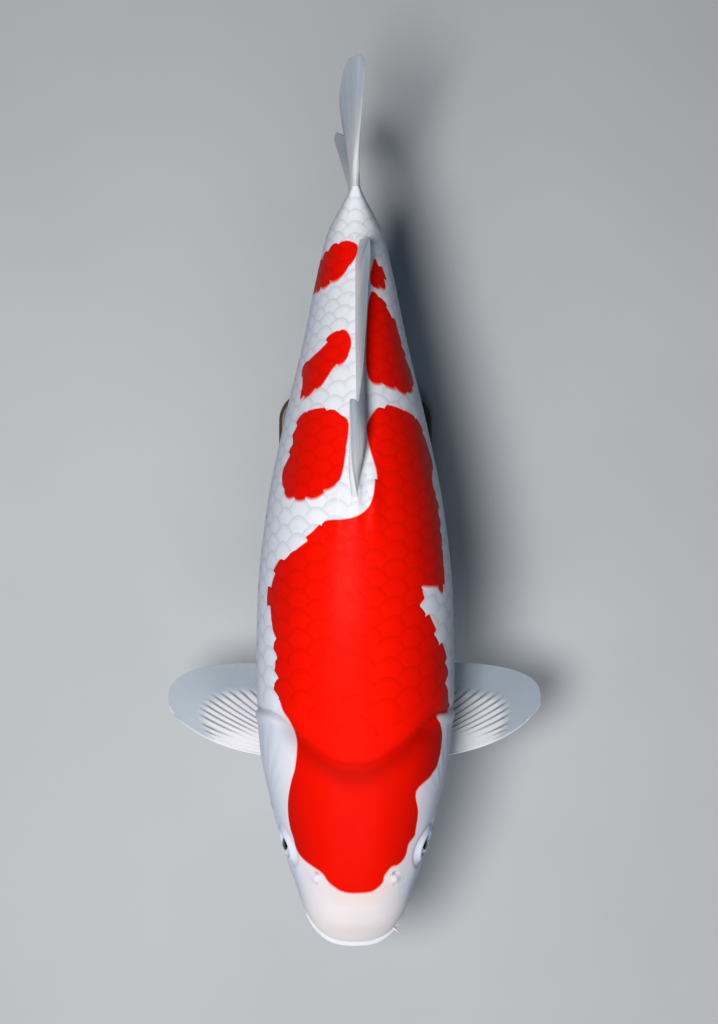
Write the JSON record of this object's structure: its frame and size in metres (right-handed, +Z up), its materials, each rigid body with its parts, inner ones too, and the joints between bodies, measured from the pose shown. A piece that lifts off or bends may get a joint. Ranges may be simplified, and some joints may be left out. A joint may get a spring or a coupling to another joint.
{
  "type": "koi carp",
  "caption": "Life-size still model of a red and white koi carp, swimming straight with its pectoral fins spread, held over a plain flat base by short upright rods.",
  "frame": {"origin": "centre of the stand base's underside, on the floor, below the middle of the fish's weight", "axes": "+Z up, +Y from the fish's head towards its tail, +X towards the fish's left side"},
  "size_m": [0.3472, 0.7789, 0.3689],
  "materials": {
    "koi_skin": "wet glossy skin, white with red markings, scaled behind the gills",
    "koi_fin": "wet fin, white at the root, clear between fine rays towards the edge",
    "koi_eye": "polished, pale ring round a dark pupil",
    "stand_wood": "dark stained wood, satin lacquer",
    "stand_steel": "brushed"
  },
  "bodies": {
    "root": {"head": "koi_skin", "gill_cover_left": "koi_skin", "gill_cover_right": "koi_skin", "lip_upper": "koi_skin", "lip_lower": "koi_skin", "trunk": "koi_skin", "tail_stem": "koi_skin", "barbel_front_left": "koi_skin", "barbel_front_right": "koi_skin", "barbel_rear_left": "koi_skin", "barbel_rear_right": "koi_skin", "dorsal_fin": "koi_fin", "tail_fin": "koi_fin", "anal_fin": "koi_fin", "pectoral_fin_left": "koi_fin", "pectoral_fin_right": "koi_fin", "pelvic_fin_left": "koi_fin", "pelvic_fin_right": "koi_fin", "eye_left": "koi_eye", "eye_right": "koi_eye", "stand_base": "stand_wood", "stand_rod_front": "stand_steel", "stand_rod_rear": "stand_steel"}
  },
  "joints": []
}
